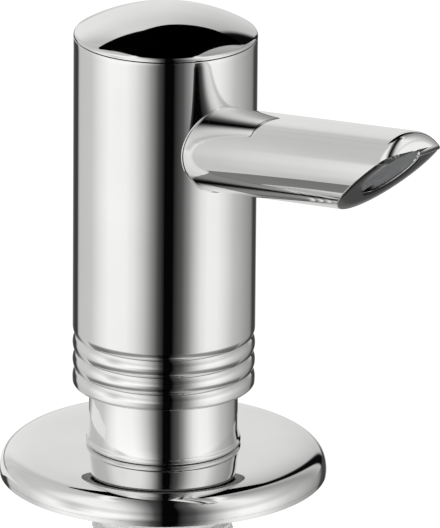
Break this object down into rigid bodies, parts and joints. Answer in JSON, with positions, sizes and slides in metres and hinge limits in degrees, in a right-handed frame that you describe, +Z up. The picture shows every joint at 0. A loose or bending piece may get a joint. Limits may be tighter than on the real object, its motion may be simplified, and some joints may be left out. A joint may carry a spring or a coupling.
{
  "type": "deck-mounted soap dispenser",
  "caption": "Polished press-down soap dispenser for a worktop hole: domed head with a rising spout, ribbed foot, fixed neck, round flange, threaded shank, bottle and pump inside.",
  "frame": {"origin": "on the head's axis at the deck plane, the underside of the flange and its gasket", "axes": "+Z up along the head's axis, +X the way the spout points"},
  "size_m": [0.1046, 0.068, 0.263],
  "materials": {
    "polished_chrome": "mirror-polished chrome plate on brass",
    "steel": "plain stainless steel",
    "white_plastic": "natural acetal",
    "grey_plastic": "fine matt moulded grey",
    "black_plastic": "moulded glass-filled nylon",
    "bottle_plastic": "milky blow-moulded polyethylene",
    "seal_rubber": "matt seal rubber"
  },
  "bodies": {
    "base": {"neck_sleeve": "polished_chrome", "guide_ring": "white_plastic", "threaded_shank": "white_plastic", "deck_flange": "polished_chrome", "deck_gasket": "seal_rubber", "rubber_washer": "seal_rubber", "clamp_washer": "steel", "mounting_nut": "black_plastic", "bottle": "bottle_plastic", "bottle_seal": "seal_rubber"},
    "pump": {"pump_barrel": "white_plastic", "barrel_bush": "grey_plastic", "bush_seal": "seal_rubber", "barrel_seal": "seal_rubber", "valve_cage": "white_plastic", "dip_tube": "bottle_plastic", "return_spring": "steel"},
    "inlet_valve": {"inlet_ball": "steel"},
    "plunger": {"stem": "steel", "stem_seal": "seal_rubber", "piston": "white_plastic", "piston_seal": "seal_rubber"},
    "outlet_valve": {"outlet_ball": "steel"},
    "head": {"head_shell": "polished_chrome", "head_cap": "polished_chrome", "head_core": "white_plastic", "spout_tube": "polished_chrome", "spout_seal": "seal_rubber", "spout_screw": "steel", "outlet_nozzle": "grey_plastic"}
  },
  "joints": [
    {"name": "pump_lift", "type": "slide", "parent": "base", "child": "pump", "axis": [0, 0, 1], "range_m": [0, 0.21]},
    {"name": "pump_stroke", "type": "slide", "parent": "pump", "child": "plunger", "axis": [0, 0, -1], "range_m": [0, 0.0095], "stiffness_N_per_m": 500, "springref_m": -0.012, "deforming": ["return_spring"]},
    {"name": "head_swivel", "type": "hinge", "parent": "plunger", "child": "head", "pos_m": [0, 0, 0.05], "axis": [0, 0, 1], "continuous": true},
    {"name": "inlet_lift", "type": "slide", "parent": "pump", "child": "inlet_valve", "axis": [0, 0, 1], "range_m": [0, 0.0015]},
    {"name": "outlet_lift", "type": "slide", "parent": "plunger", "child": "outlet_valve", "axis": [0, 0, 1], "range_m": [0, 0.0015]}
  ]
}
